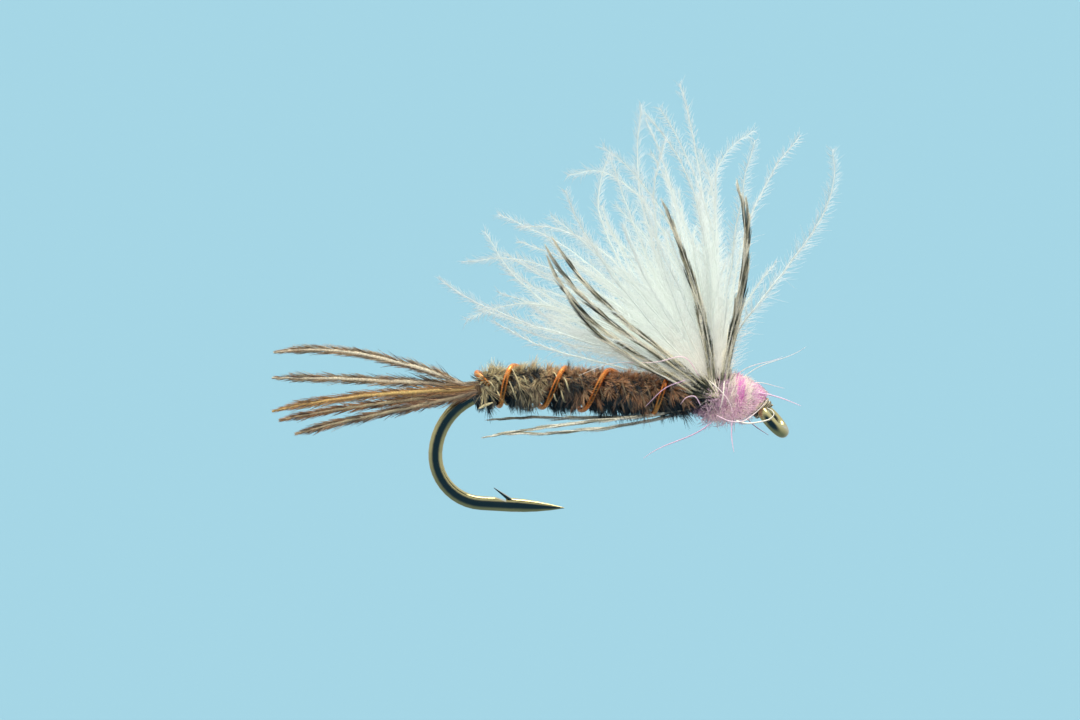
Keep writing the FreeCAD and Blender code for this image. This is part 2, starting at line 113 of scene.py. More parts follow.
def waver(places, rng, waves=4):
    """A smooth value that wanders about 0 from place to place."""
    total = np.zeros_like(places, dtype=float)
    for wave in range(1, waves + 1):
        turned = places * rng.uniform(0.6, 1.4) * wave
        total += np.sin(turned + rng.uniform(0, 2 * math.pi)) / wave
    return total / 2


# Lines


def smooth_line(points, count):
    """So many evenly spaced points of a smooth curve through the given ones."""
    points = np.asarray(points, float)
    padded = np.vstack([2 * points[0] - points[1], points, 2 * points[-1] - points[-2]])
    places = np.linspace(0, len(points) - 1, 12 * len(points))
    first = np.minimum(places.astype(int), len(points) - 2)
    share = (places - first)[:, None]
    a, b, c, d = (padded[first + step] for step in range(4))
    curve = 2 * a - 5 * b + 4 * c - d + share * (3 * (b - c) + d - a)
    dense = b + 0.5 * share * (c - a + share * curve)
    reach = np.concatenate([[0], np.cumsum(np.linalg.norm(np.diff(dense, axis=0), axis=1))])
    even = np.linspace(0, reach[-1], count)
    return np.stack([np.interp(even, reach, dense[:, axis]) for axis in range(3)], axis=1)


def length_of(line):
    return float(np.sum(np.linalg.norm(np.diff(line, axis=0), axis=1)))


def centre_lines(node, rings, root):
    """The centre line of each barb in a CAD node, from its root: the means of its rings of vertices."""
    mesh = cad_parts[node].data
    co = np.empty(3 * len(mesh.vertices))
    mesh.vertices.foreach_get("co", co)
    places, weld = np.unique(np.round(co.reshape(-1, 3) / MM, 5), axis=0, return_inverse=True)
    edges = np.empty(2 * len(mesh.edges), int)
    mesh.edges.foreach_get("vertices", edges)
    first, second = weld.ravel()[edges].reshape(-1, 2).T
    label = np.arange(len(places))
    settled = False
    while not settled:
        lowest = label.copy()
        np.minimum.at(lowest, first, label[second])
        np.minimum.at(lowest, second, label[first])
        lowest = lowest[lowest]
        settled = np.array_equal(lowest, label)
        label = lowest
    lines = []
    for part in np.unique(label):
        points = places[label == part]
        start = points[np.argmin(np.linalg.norm(points - root, axis=1))]
        reach = np.linalg.norm(points - start, axis=1)
        order = np.argsort(reach)
        gaps = np.sort(np.argsort(np.diff(reach[order]))[-(rings - 1):]) + 1
        lines.append(np.array([points[group].mean(axis=0) for group in np.split(order, gaps)]))
    return lines


# Meshes


def tubes(paths, radii, tints, sides=3, flatness=1):
    """Closed tapering tubes: paths is (tubes, points, 3), and tints is for each tube or for its points."""
    count, points = paths.shape[:2]
    along = unit(np.gradient(paths, axis=1))
    spare = np.where(np.abs(along[:, 0, 1:2]) < 0.8, (0, 1, 0), (1, 0, 0))
    side = unit(np.cross(along[:, 0], spare))
    carried = []
    for point in range(points):
        side = unit(side - along[:, point] * dot(side, along[:, point]))
        carried.append(side)
    side = np.stack(carried, axis=1)[:, :, None]
    across = np.cross(along[:, :, None], side)
    turn = (2 * math.pi * np.arange(sides) / sides)[:, None]
    rings = side * np.cos(turn) + flatness * across * np.sin(turn)
    co = paths[:, :, None] + np.broadcast_to(radii, (count, points))[:, :, None, None] * rings
    if np.ndim(tints) < 3:
        tints = np.asarray(tints)[..., None, :]
    tints = np.broadcast_to(tints, (count, points, 3))
    index = np.arange(count * points * sides).reshape(count, points, sides)
    nearer, further = index[:, :-1], index[:, 1:]
    quads = [nearer, np.roll(nearer, -1, axis=2), np.roll(further, -1, axis=2), further]
    return {
        "co": co.reshape(-1, 3),
        "tint": np.repeat(tints.reshape(-1, 3), sides, axis=0),
        "faces": [np.stack(quads, axis=-1).reshape(-1, 4), index[:, 0, ::-1], index[:, -1]],
    }


def tube(path, radii, tints, sides=3, flatness=1):
    return tubes(path[None], radii, tints[None], sides, flatness)


def new_object(name, data):
    made = bpy.data.objects.new(name, data)
    bpy.context.scene.collection.objects.link(made)
    return made


def piece(name, sets, material, slot, *nodes):
    """One object of several sets of tubes, which rides on the fly and may stand for CAD nodes."""
    starts = np.cumsum([0] + [len(one["co"]) for one in sets])
    faces = [face + start for one, start in zip(sets, starts) for face in one["faces"]]
    co = np.concatenate([one["co"] for one in sets]) * MM
    tint = np.concatenate([one["tint"] for one in sets])
    mesh = bpy.data.meshes.new(name)
    mesh.vertices.add(len(co))
    mesh.vertices.foreach_set("co", co.astype(np.float32).ravel())
    corners = np.concatenate([face.ravel() for face in faces])
    sizes = np.concatenate([np.full(len(face), face.shape[1]) for face in faces])
    mesh.loops.add(len(corners))
    mesh.loops.foreach_set("vertex_index", corners.astype(np.int32))
    mesh.polygons.add(len(sizes))
    mesh.polygons.foreach_set("loop_start", (np.cumsum(sizes) - sizes).astype(np.int32))
    mesh.polygons.foreach_set("use_smooth", np.ones(len(sizes), bool))
    mesh.update(calc_edges=True)
    opaque = np.column_stack([tint, np.ones(len(tint))]).astype(np.float32)
    mesh.attributes.new("tint", "FLOAT_COLOR", "POINT").data.foreach_set("color", opaque.ravel())
    mesh.materials.append(material)
    made = new_object(name, mesh)
    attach(made, "root")
    if nodes:
        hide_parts(*nodes)
    return made


# Materials


def set_inputs(node, values):
    for name, value in values.items():
        node.inputs[name].default_value = value


def noise(tree, scale, detail=3, stretch=(1, 1, 1)):
    """Noise fixed to the model; scale is how many of its features fit in a millimetre."""
    place = tree.nodes.new("ShaderNodeTexCoord")
    squeeze = tree.nodes.new("ShaderNodeMapping")
    squeeze.inputs["Scale"].default_value = stretch
    made = tree.nodes.new("ShaderNodeTexNoise")
    set_inputs(made, {"Scale": scale / MM, "Detail": detail})
    tree.links.new(place.outputs["Object"], squeeze.inputs["Vector"])
    tree.links.new(squeeze.outputs["Vector"], made.inputs["Vector"])
    return made.outputs["Fac"]


def map_range(tree, value, across, onto):
    made = tree.nodes.new("ShaderNodeMapRange")
    made.inputs["From Min"].default_value, made.inputs["From Max"].default_value = across
    made.inputs["To Min"].default_value, made.inputs["To Max"].default_value = onto
    tree.links.new(value, made.inputs["Value"])
    return made.outputs["Result"]


def spread(tree, value, low, high):
    """The middle of a noise stretched to run from low to high."""
    return map_range(tree, value, (0.3, 0.7), (low, high))


def mix_colours(tree, share, first, second):
    """From first to second, each a colour or another node's output."""
    made = tree.nodes.new("ShaderNodeMix")
    made.data_type = "RGBA"
    tree.links.new(share, made.inputs["Factor"])
    for name, colour in (("A", first), ("B", second)):
        end = next(socket for socket in made.inputs if socket.name == name and socket.type == "RGBA")
        if isinstance(colour, bpy.types.NodeSocket):
            tree.links.new(colour, end)
        else:
            end.default_value = (*colour, 1)
    return next(socket for socket in made.outputs if socket.type == "RGBA")


def bump(tree, shader, height, depth):
    made = tree.nodes.new("ShaderNodeBump")
    made.inputs["Distance"].default_value = depth * MM
    tree.links.new(height, made.inputs["Height"])
    tree.links.new(made.outputs["Normal"], shader.inputs["Normal"])


def new_material(name):
    material = bpy.data.materials.new(name)
    material.use_nodes = True
    tree = material.node_tree
    return material, tree, tree.nodes["Principled BSDF"]


def fibre_material(name, roughness, sheen, grain, uneven):
    """A fibre whose own colour is in its mesh, with fine unevenness in colour, gloss and surface."""
    material, tree, shader = new_material(name)
    tint = tree.nodes.new("ShaderNodeAttribute")
    tint.attribute_name = "tint"
    fine = noise(tree, grain)
    shade = tree.nodes.new("ShaderNodeHueSaturation")
    tree.links.new(tint.outputs["Color"], shade.inputs["Color"])
    tree.links.new(spread(tree, fine, 1 - uneven, 1 + uneven), shade.inputs["Value"])
    tree.links.new(shade.outputs["Color"], shader.inputs["Base Color"])
    tree.links.new(spread(tree, fine, roughness - 0.1, roughness + 0.1), shader.inputs["Roughness"])
    set_inputs(shader, {"Sheen Weight": sheen, "Sheen Roughness": 0.4})
    bump(tree, shader, fine, 0.004)
    return material


def let_light_through(material):
    """Makes a fibre glow with the light from behind it, as down does."""
    shader = material.node_tree.nodes["Principled BSDF"]
    set_inputs(shader, {"Subsurface Weight": 0.7, "Subsurface Radius": (1, 1, 1)})
    set_inputs(shader, {"Subsurface Scale": 0.05 * MM})


def metal_material(name, dark, light, roughness, scratches):
    """Drawn wire: a metal with faint lengthwise scratches and a lacquer over it."""
    material, tree, shader = new_material(name)
    broad = noise(tree, 1.2)
    fine = noise(tree, scratches, 4, (0.12, 1, 1))
    tree.links.new(mix_colours(tree, spread(tree, broad, 0, 1), dark, light), shader.inputs["Base Color"])
    tree.links.new(spread(tree, fine, roughness - 0.06, roughness + 0.08), shader.inputs["Roughness"])
    set_inputs(shader, {"Metallic": 1, "Coat Weight": 0.35, "Coat Roughness": 0.12})
    bump(tree, shader, fine, 0.0015)
    return material


# a wave texture of scale 1 has about this many waves in a unit of length
WAVES_IN_UNIT = 3.1


def wound_material(name, dark, light, pitch):
    """Turns of thread side by side on the hook, as ridges so far apart, darker in the grooves between them as
    painted shade.
    """
    material, tree, shader = new_material(name)
    place = tree.nodes.new("ShaderNodeTexCoord")
    ridges = tree.nodes.new("ShaderNodeTexWave")
    set_inputs(ridges, {"Scale": 1 / (pitch * MM) / WAVES_IN_UNIT, "Distortion": 1.2})
    tree.links.new(place.outputs["Object"], ridges.inputs["Vector"])
    # painted shade: the dark colour falls in the grooves between turns, the light one on their tops
    tree.links.new(mix_colours(tree, ridges.outputs["Fac"], dark, light), shader.inputs["Base Color"])
    tree.links.new(spread(tree, noise(tree, 9), 0.45, 0.7), shader.inputs["Roughness"])
    bump(tree, shader, ridges.outputs["Fac"], 0.02)
    return material


# The hook's and the body's places


def around_shank(station, degrees, radius, lift=BODY_LIFT):
    """Points round the shank: a station is millimetres ahead of the bend, degrees run from the top."""
    station = np.asarray(station, float)
    turned = np.maximum(-station, 0) / BEND_TOP_R
    reach = BEND_TOP_R + lift + radius * cos_of(degrees)
    x = BEND_START_X + np.maximum(station, 0) - reach * np.sin(turned)
    z = SHANK_Z - BEND_TOP_R + reach * np.cos(turned)
    return np.stack([x, -radius * np.sin(np.radians(degrees)) + 0 * x, z], axis=-1)


def underbody_radius(station):
    return np.interp(station, UNDERBODY_STATIONS, UNDERBODY_RADII)


def rib_line():
    half_turns = np.linspace(0, len(RIB_HALF_TURNS) - 1, 360)
    station = np.interp(half_turns, range(len(RIB_HALF_TURNS)), RIB_HALF_TURNS)
    radius = underbody_radius(station) + 2 * CLEAR + 2 * HERL_R + RIB_R
    return around_shank(station, 180 * half_turns, radius)


# Feather barbs

# the places along a short hair at which its course is worked out
HAIR_PLACES = (0, 0.4, 0.75, 1)


def short_hairs(base, size, leave, droop):
    """The courses of hairs so long, which leave their roots one way and droop another."""
    steps = [base + size * (place * leave + 0.5 * place**2 * droop) for place in HAIR_PLACES]
    return np.stack(steps, axis=1)


def barbules(line, rng, every, lengths, angle, radius, tint, flare, curl, twist=0, start=0, end=1):
    """Hairs that leave both sides of a line, so far apart, and lean to its tip at an angle in degrees.

    lengths pairs places along the line with the hairs' lengths there. flare and curl say how far the hairs
    stray from one flat vane and from straight.
    """
    total = length_of(line)
    count = int(total * (end - start) / every)
    where = np.repeat(np.linspace(start, end, count), 2)
    where = clamp(where + rng.uniform(-0.5, 0.5, 2 * count) * every / total)
    sides = np.tile((1, -1), count)
    steps = where * (len(line) - 1)
    first = np.minimum(steps.astype(int), len(line) - 2)
    share = (steps - first)[:, None]
    base = line[first] * (1 - share) + line[first + 1] * share
    along = unit(line[first + 1] - line[first])
    spare = unit(np.cross(along, (0, 1, 0)))
    depth = np.cross(along, spare)
    roll = twist * total * where + rng.normal(0, flare, 2 * count)
    out = sides[:, None] * (spare * np.cos(roll)[:, None] + depth * np.sin(roll)[:, None])
    lean = np.radians(angle + rng.normal(0, 0.18, 2 * count) * angle)[:, None]
    leave = along * np.cos(lean) + out * np.sin(lean)
    size = (np.interp(where, *lengths) * rng.uniform(0.6, 1.15, 2 * count))[:, None]
    droop = unit(rng.normal(0, 1, (2 * count, 3))) * curl + along * 0.35
    radii = radius * np.array((1, 0.95, 0.7, 0.3)) * rng.uniform(0.75, 1.25, (2 * count, 1))
    return tubes(short_hairs(base, size, leave, droop), radii, tint(where, rng))


def shaft(line, rng, radii, tint, sides, wander, flatness=1):
    """A barb's own stalk, which wanders a little across its course: its path and its tube."""
    places = np.linspace(0, 1, len(line))
    reach = length_of(line) * places
    sway = np.stack([waver(reach * 2.2, rng) for _ in range(3)], axis=1)
    path = line + sway * (wander * np.minimum(places * 3, 1))[:, None]
    thick = np.interp(places, np.linspace(0, 1, len(radii)), radii)
    return path, tube(path, thick, tint(places, rng), sides, flatness)


# Down

DOWN = paint(228, 237, 230)
DOWN_CREAM = paint(234, 228, 214)
DOWN_GREY = paint(176, 170, 152)


def down_tint(where, rng):
    colour = blend(DOWN, DOWN_CREAM, np.clip(0.9 - 2.6 * where, 0, 0.9))
    return colour * rng.uniform(0.9, 1, (len(where), 1))


def grey_down_tint(where, rng):
    return blend(DOWN_GREY, DOWN, clamp(where * 1.2 + rng.normal(-0.2, 0.25, len(where))))


DOWN_STALK_RADII = (0.033, 0.032, 0.027, 0.02, 0.011)
DOWN_HAIR_PLACES = (0, 0.25, 0.6, 1)
DOWN_HAIR_LENGTHS = np.array((0.75, 0.64, 0.46, 0.26))
# degrees that hairs lean off their stalk: on short and grey barbs, on the fan's long ones and at its front
DOWN_LEAN = 45
FAN_LEAN = 47
FRONT_LEAN = 58


def down_barb(line, rng, tint, scale=1, angle=DOWN_LEAN):
    """A barb of down: a thin stalk with soft hairs all along, longer low down."""
    path, stalk = shaft(smooth_line(line, 40), rng, DOWN_STALK_RADII, tint, sides=5, wander=0.035)
    hairs = barbules(
        path, rng, every=0.03, lengths=(DOWN_HAIR_PLACES, scale * DOWN_HAIR_LENGTHS),
        angle=angle, radius=0.0056, tint=tint, flare=0.6, curl=0.6, twist=rng.uniform(-0.5, 0.5),
    )
    return [stalk, hairs]


# each group of the fan: how many shorter barbs it has, and what share of the long ones' height they reach
FAN = {
    "rear_low": (9, 0.55, 0.95),
    "rear": (13, 0.35, 0.85),
    "rear_mid": (24, 0.3, 0.85),
    "mid": (36, 0.3, 0.88),
    "upright": (24, 0.3, 0.85),
    "front": (4, 0.3, 0.6),
}
FAN_POINTS = 24


def shorter_line(lines, rng, least, most):
    """A line between two of these, which stops short of their tips and bends its own way."""
    first, second = rng.choice(len(lines), 2, replace=False)
    mixed = blend(lines[first], lines[second], np.full(FAN_POINTS, rng.uniform(0.2, 0.8)))
    finer = 2 * FAN_POINTS
    kept = smooth_line(mixed, finer)[: int(finer * rng.uniform(least, most))]
    return kept + rng.normal(0, 0.45, 3) * np.linspace(0, 1, len(kept))[:, None] ** 3


def wing(material):
    """The fan of down. Between the CAD barbs stand shorter ones, so that it is dense low down."""
    for number, (group, (shorter, least, most)) in enumerate(FAN.items()):
        rng = draws(number)
        node = "cdc_barbs_" + group
        angle = FRONT_LEAN if group == "front" else FAN_LEAN
        lines = [smooth_line(line, FAN_POINTS) for line in centre_lines(node, WING_RINGS, THORAX)]
        sets = []
        for line in lines:
            sets += down_barb(line, rng, down_tint, angle=angle)
        for _ in range(shorter):
            line = shorter_line(lines, rng, least, most)
            sets += down_barb(line, rng, down_tint, scale=0.85)
        made = piece("cdc_down_" + group, sets, material, "cdc_down", node)
        made.visible_shadow = False


# Speckled hackle

HACKLE_DARK = paint(60, 66, 50)
HACKLE_TAN = paint(202, 194, 158)
HACKLE_CREAM = paint(255, 250, 228)


def hackle_tint(bars, shift, pale, where, rng):
    """Long streaks of dark olive, tan and cream on each side, darker in soft bars, with a pale tip."""
    side = np.arange(len(where)) % 2
    bar = 0.12 * np.sin(where * bars * 2 * math.pi + shift)
    middle = 0.25 * np.sin(math.pi * clamp(where * 1.15)) - 0.1
    lasting = 0.46 * np.tanh(3 * waver(where * 18 + 50 * side, rng))
    streak = np.clip(0.5 + lasting + rng.normal(0, 0.12, len(where)) + bar + pale + middle, 0, 1.1)
    colour = blend(HACKLE_DARK, HACKLE_TAN, clamp(streak * 2.2 - 0.7))
    colour = blend(colour, HACKLE_CREAM, clamp(streak * 3.2 - 2.3))
    colour = blend(colour, HACKLE_CREAM, np.clip((where - 0.8) * 4, 0, 0.7))
    return colour * rng.uniform(0.85, 1.15, (len(where), 1))


def stalk_tint(pale, where, rng):
    """Cream and tan in turn, darker towards the root."""
    cream = 0.6 + pale + 0.7 * waver(where * 14, rng) - np.clip(2.5 * (0.45 - where), 0, 0.8)
    colour = blend(HACKLE_TAN, HACKLE_CREAM, clamp(cream))
    dark = np.clip(-1.2 * cream, 0, 0.7) + np.clip(1.5 * (0.35 - where), 0, 0.3)
    return blend(colour, HACKLE_DARK, dark)


HACKLE_STALK_RADII = np.array((0.046, 0.044, 0.038, 0.028, 0.012))
HACKLE_HAIR_LENGTHS = ((0, 0.5, 0.85, 1), (0.85, 0.85, 0.595, 0.2125))
HACKLE_BARBS = 10
DOWNY_BARBS = ("hackle_barb_9", "hackle_barb_10")
LEG_BARBS = 3
# the barbs beside the wing and below the body: how much paler than the middle tone, and how wide
HACKLE_LOOK = (0.1, 0.86)
LEG_LOOK = (0.42, 0.5)


def speckled_barb(line, rng, bars, pale, width):
    """A barb of speckled hackle, whose fine hairs lie close along its stalk."""
    radii = HACKLE_STALK_RADII * width
    look = partial(stalk_tint, pale)
    path, stalk = shaft(smooth_line(line, 40), rng, radii, look, sides=6, wander=0.015, flatness=0.9)
    hairs = barbules(
        path, rng, every=0.018, lengths=HACKLE_HAIR_LENGTHS, angle=6 * width, radius=0.0095,
        tint=partial(hackle_tint, *bars, pale), flare=0.4, curl=0.04,
    )
    return [stalk, hairs]


# where the barbs beside the wing gather on the thorax's near side
GATHERING = np.array((-1.84, -0.76, 0.72))


def carried_on(line):
    """A barb's centre line with its root carried on over the thread, to where the barbs gather."""
    root = line[0] + np.array((0, -0.12, 0))
    middle = blend(GATHERING, root, 0.55) + np.array((0, -0.03, 0.02))
    return np.vstack([GATHERING, middle, root, line[1:]])


def legs(hackle, down):
    nodes = [f"hackle_barb_{number}" for number in range(1, HACKLE_BARBS + 1)]
    nodes += [f"leg_barb_{number}" for number in range(1, LEG_BARBS + 1)]
    for number, node in enumerate(nodes):
        rng = draws(20 + number)
        line = centre_lines(node, BARB_RINGS, THORAX)[0]
        name = node.replace("barb", "feather")
        if node in DOWNY_BARBS:
            piece(name, down_barb(line, rng, grey_down_tint), down, "speckled_hackle", node)
        else:
            below_body = node.startswith("leg")
            if line[0, 1] < 0 and not below_body:
                line = carried_on(line)
            bars = (rng.uniform(1.3, 2.4), rng.uniform(0, 6))
            sets = speckled_barb(line, rng, bars, *(LEG_LOOK if below_body else HACKLE_LOOK))
            piece(name, sets, hackle, "speckled_hackle", node)


# Tail

TAIL_SHAFT = paint(240, 228, 194)
TAIL_CREAM = paint(214, 200, 164)
TAIL_GOLD = paint(214, 170, 108)
TAIL_RUST = paint(190, 142, 104)
TAIL_DARK = paint(82, 62, 58)
TAIL_OLIVE = paint(184, 170, 134)
TAIL_STRAW = paint(226, 190, 118)


def tail_tint(share, fleck, where, rng):
    """Dark purple-brown and rust in clumps, with about this share of a lighter colour among them."""
    clumps = waver(where * 34, rng) + rng.normal(0, 0.3, len(where))
    colour = blend(TAIL_DARK, TAIL_RUST, clamp(0.55 + clumps))
    pale = np.clip(rng.normal(share, 0.3, len(where)), 0, 0.9)
    return blend(colour, fleck, pale) * rng.uniform(0.7, 1.2, (len(where), 1))


def tail_shaft_tint(pale, where, rng):
    """A stalk of this colour, mottled, and dark at its root."""
    mottled = 0.05 + 0.25 * waver(where * 12, rng)
    colour = blend(pale, TAIL_RUST, clamp(mottled))
    return blend(colour, TAIL_DARK, np.clip(3.5 * (0.5 - where), 0, 0.8))


def tail_dark_tint(where, rng):
    return TAIL_DARK * rng.uniform(0.7, 1.3, (len(where), 1))


TAIL_STALK_RADII = (0.05, 0.066, 0.082, 0.084, 0.072, 0.052, 0.022)
TAIL_FRINGE_LENGTHS = ((0, 0.3, 0.85, 0.93, 1), (0.25, 0.66, 0.6, 0.32, 0.1))
TAIL_BARE = 0.24
# each barb: its stalk's colour, and the share and colour of the lighter hairs in its fringe
TAIL_BARBS = (
    (TAIL_SHAFT, 0.5, TAIL_CREAM),
    (TAIL_SHAFT, 0.46, TAIL_CREAM),
    (TAIL_STRAW, 0.55, TAIL_GOLD),
    (TAIL_OLIVE, 0.28, TAIL_GOLD),
    (TAIL_OLIVE, 0.3, TAIL_OLIVE),
)


def tail(material):
    """Five barbs: each a pale stalk, bare at its root, then fringed with rusty and dark hairs."""
    for number, (stalk_colour, share, fleck) in enumerate(TAIL_BARBS, 1):
        rng = draws(40 + number)
        node = f"tail_barb_{number}"
        line = smooth_line(centre_lines(node, TAIL_RINGS, TAIL_BUTTS)[0], 60)
        look = partial(tail_shaft_tint, stalk_colour)
        path, stalk = shaft(line, rng, TAIL_STALK_RADII, look, sides=6, wander=0.01, flatness=0.7)
        fringe = barbules(
            path, rng, every=0.021, lengths=TAIL_FRINGE_LENGTHS, angle=15.5, radius=0.0115,
            tint=partial(tail_tint, share, fleck), flare=0.35, curl=0.08, start=TAIL_BARE, end=0.985,
        )
        strays = barbules(
            path, rng, every=0.16, lengths=((0, 1), (0.62, 0.62)), angle=27, radius=0.01,
            tint=tail_dark_tint, flare=0.5, curl=0.1, start=TAIL_BARE, end=0.6,
        )
        piece(f"tail_feather_{number}", [stalk, fringe, strays], material, "pheasant_barb", node)


# Body

HERL_BLACK = paint(20, 46, 54)
HERL_BROWN = paint(114, 101, 88)
HERL_MOSS = paint(98, 114, 104)
HERL_RUST = paint(208, 148, 102)
HERL_OLIVE = paint(242, 226, 172)
# the colour of painted highlights on the quill ahead of the tail
QUILL_FRONT_HIGHLIGHT = paint(150, 128, 96)
QUILL_R = 0.075
# a flue's thickness from root to tip, and its brightness as painted shade: dark at the root, deep among the
# flues, bright at the tip
FLUE_TAPER = np.array((0.9, 1, 0.75, 0.25))
FLUE_ROOT_SHADE = (0.12, 0.45, 1, 1.25)
FLUE_FLATNESS = 0.6
# how many painted quill highlights each strand has
QUILL_HIGHLIGHTS = 12


def herl_course(index, forward):
    """A strand's station and degrees from the top, so far along the body from its rear end."""
    return HERL_REAR + forward, 360 * (forward / HERL_LEAD + index / HERL_STRANDS)


def tufts(station, degrees):
    """How thickly flues gather at a place on the body, from about -1 to 1, the same for every strand."""
    turn = np.radians(degrees)
    wide = np.sin(20 * station + 1.3 * np.sin(2 * turn)) + 0.7 * np.sin(11 * station - turn + 2)
    return (wide + np.sin(33 * station + 2 * turn + 1)) / 2.2


def herl_tint(station, degrees, clumps, rng):
    """Olive and cream near the tail, rusty ahead, near black between, in clumps; lighter on top, and darker,
    greyer and near black low down, as painted light and shade.
    """
    count = len(station)
    # painted light and shade: height is 1 on top and 0 below; the top gets more of the light colour, the
    # lower side is darker, greyer and nearer black
    height = (1 + cos_of(degrees - 20)) / 2
    rear = clamp((2.5 - station) / 2.8)
    front = clamp((station - 4.2) / 1.2)
    light = blend(HERL_RUST, HERL_OLIVE, clamp(rear * 0.95 + rng.normal(0, 0.25, count)))
    # painted shade: the lower side of the rear is darker still
    shaded_low_rear = rear * (1 - height)
    tone = 0.3 * clumps + 0.95 * waver(station * 8, rng, 5)
    dark = height - 0.12 - 0.3 * front - 0.6 * shaded_low_rear + tone + rng.normal(0, 0.18, count)
    mossy = clamp(0.98 - 0.8 * height + 0.8 * waver(station * 7 + degrees / 60, rng))
    mid = blend(HERL_BLACK, blend(HERL_BROWN, HERL_MOSS, mossy), clamp(dark))
    share = 1.6 * height - 0.8 - 0.45 * front + tone + rng.normal(0, 0.16, count)
    return blend(mid, light, clamp(share - 0.85 * shaded_low_rear))


def clear_of_rib(base, leave, outward, rib):
    """Turns flues away from the copper wire beside them, and says how crowded each one is."""
    tip = base + 0.25 * leave
    nearest = np.argmin(np.linalg.norm(tip[:, None] - rib[None], axis=2), axis=1)
    away = tip - rib[nearest]
    crowd = clamp(1 - (np.linalg.norm(away, axis=1, keepdims=True) - RIB_R) / 0.24)
    crowd = crowd * clamp(1.3 - 1.2 * outward[:, 2:])
    return unit(leave + 0.9 * crowd * unit(away - outward * dot(away, outward))), crowd


def herl_flues(index, rng, rib):
    """A strand's flues: they stand out of the top, and hang in tufts at the sides and below."""
    count = 3800
    forward = np.sort(rng.uniform(0, HERL_LENGTH, count))
    station, degrees = herl_course(index, forward)
    radius = underbody_radius(station) + CLEAR + 0.6 * HERL_R
    base = around_shank(station, degrees, radius)
    outward = unit(around_shank(station, degrees, radius + 0.1) - base)
    later = around_shank(*herl_course(index, forward + 0.02), radius)
    along = unit(later - base)
    edge = np.cross(along, outward)
    side = rng.choice((-1, 1), count)[:, None]
    gathered = tufts(station, degrees)
    clumps = 0.6 * waver(forward * 24, rng, 5) + 0.5 * gathered
    inward = (tufts(station + 0.02, degrees) - gathered)[:, None] * np.array((1.1, 0, 0))
    lean = waver(forward * 31 + 9 * side[:, 0], rng, 5)[:, None]
    hang = clamp(0.9 - cos_of(degrees))[:, None]
    flank = np.abs(np.sin(np.radians(degrees)))[:, None]
    front = clamp((station - 4.9) / 0.6)[:, None]
    leave = outward * rng.uniform(0.5, 1.1, (count, 1)) * (1 - 0.45 * flank)
    leave = leave + edge * side * 0.35 + along * (0.2 + 0.7 * lean)
    leave = leave + inward + hang * np.array((0.22, 0, -0.95)) + front * np.array((0.9, 0, 0))
    leave, crowd = clear_of_rib(base, unit(leave + rng.normal(0, 0.11, (count, 3))), outward, rib)

    on_top = clamp(cos_of(degrees))
    size = rng.uniform(0.2, 0.38, (count, 1)) * (1 - 0.35 * crowd)
    size = size * (1 + 0.3 * flank) * (1 - 0.1 * hang)
    size = size * (np.clip(1 + 1.3 * clumps, 0.25, 2) * (1 - 0.22 * on_top))[:, None]
    droop = unit(rng.normal(0, 1, (count, 3))) * 0.3 + along * 0.25
    radii = rng.uniform(0.006, 0.011, (count, 1)) * FLUE_TAPER
    tint = herl_tint(station, degrees, clumps, rng)
    # painted shade: each flue is darker towards its root
    tints = np.stack([tint * shade for shade in FLUE_ROOT_SHADE], axis=1)
    return tubes(short_hairs(base, size, leave, droop), radii, tints, 3, FLUE_FLATNESS)


def painted_quill_highlights(index, rng):
    """Short stretches of a strand's smooth quill that show between its flues, coloured pale olive or tan as
    painted highlights.
    """
    sets = []
    for start in rng.uniform(0.1, HERL_LENGTH - 0.5, QUILL_HIGHLIGHTS):
        forward = start + np.linspace(0, rng.uniform(0.18, 0.36), 9)
        station, degrees = herl_course(index, forward)
        rise = rng.uniform(0.26, 0.34) * np.sin(np.linspace(0.45, math.pi - 0.45, 9))
        path = around_shank(station, degrees, underbody_radius(station) + CLEAR + rise)
        # painted highlights: pale olive near the tail, tan ahead
        colour = HERL_OLIVE if station[0] < 1.6 else QUILL_FRONT_HIGHLIGHT
        radii = rng.uniform(0.024, 0.04) * np.sin(np.linspace(0.7, math.pi - 0.7, 9))
        colour = colour * rng.uniform(0.45, 0.85)
        sets.append(tube(path, radii, colour, 6, FLUE_FLATNESS))
    return sets


def herl(material):
    """Strands wound side by side, each a thin quill with a dense fringe of flues on both edges."""
    rib = rib_line()
    for index in range(HERL_STRANDS):
        rng = draws(60 + index)
        forward = np.linspace(0, HERL_LENGTH, 300)
        station, degrees = herl_course(index, forward)
        quill = around_shank(station, degrees, underbody_radius(station) + CLEAR + 0.5 * HERL_R)
        quill_tint = blend(HERL_BLACK, HERL_BROWN, clamp(0.3 + 0.4 * waver(forward * 3, rng)))
        sets = [tube(quill, QUILL_R, quill_tint, 6, FLUE_FLATNESS)]
        sets.append(herl_flues(index, rng, rib))
        sets += painted_quill_highlights(index, rng)
        piece(f"herl_fringe_{index + 1}", sets, material, "herl", f"herl_strand_{index + 1}")


def dark_tuft(rng, count, stations, turns, leave, size, lift=0):
    """Short dark flues between these stations and degrees, lifted off the thread."""
    station = rng.uniform(*stations, count)
    degrees = rng.uniform(*turns, count)
    radius = underbody_radius(station) + lift
    base = around_shank(station, degrees, radius)
    outward = around_shank(station, degrees, radius + 1) - base
    leave = unit(np.array(leave) + 0.5 * outward + rng.normal(0, 0.24, (count, 3)))
    size = rng.uniform(*size, (count, 1))
    droop = rng.normal(0, 0.2, (count, 3))
    radii = rng.uniform(0.009, 0.016, (count, 1)) * np.array((1, 1, 0.8, 0.3))
    tints = blend(HERL_BLACK, HERL_BROWN, rng.uniform(0, 0.6, (count, 1)) ** 2)
    return tubes(short_hairs(base, size, leave, droop), radii, tints * np.ones((1, 4, 1)), 3, FLUE_FLATNESS)


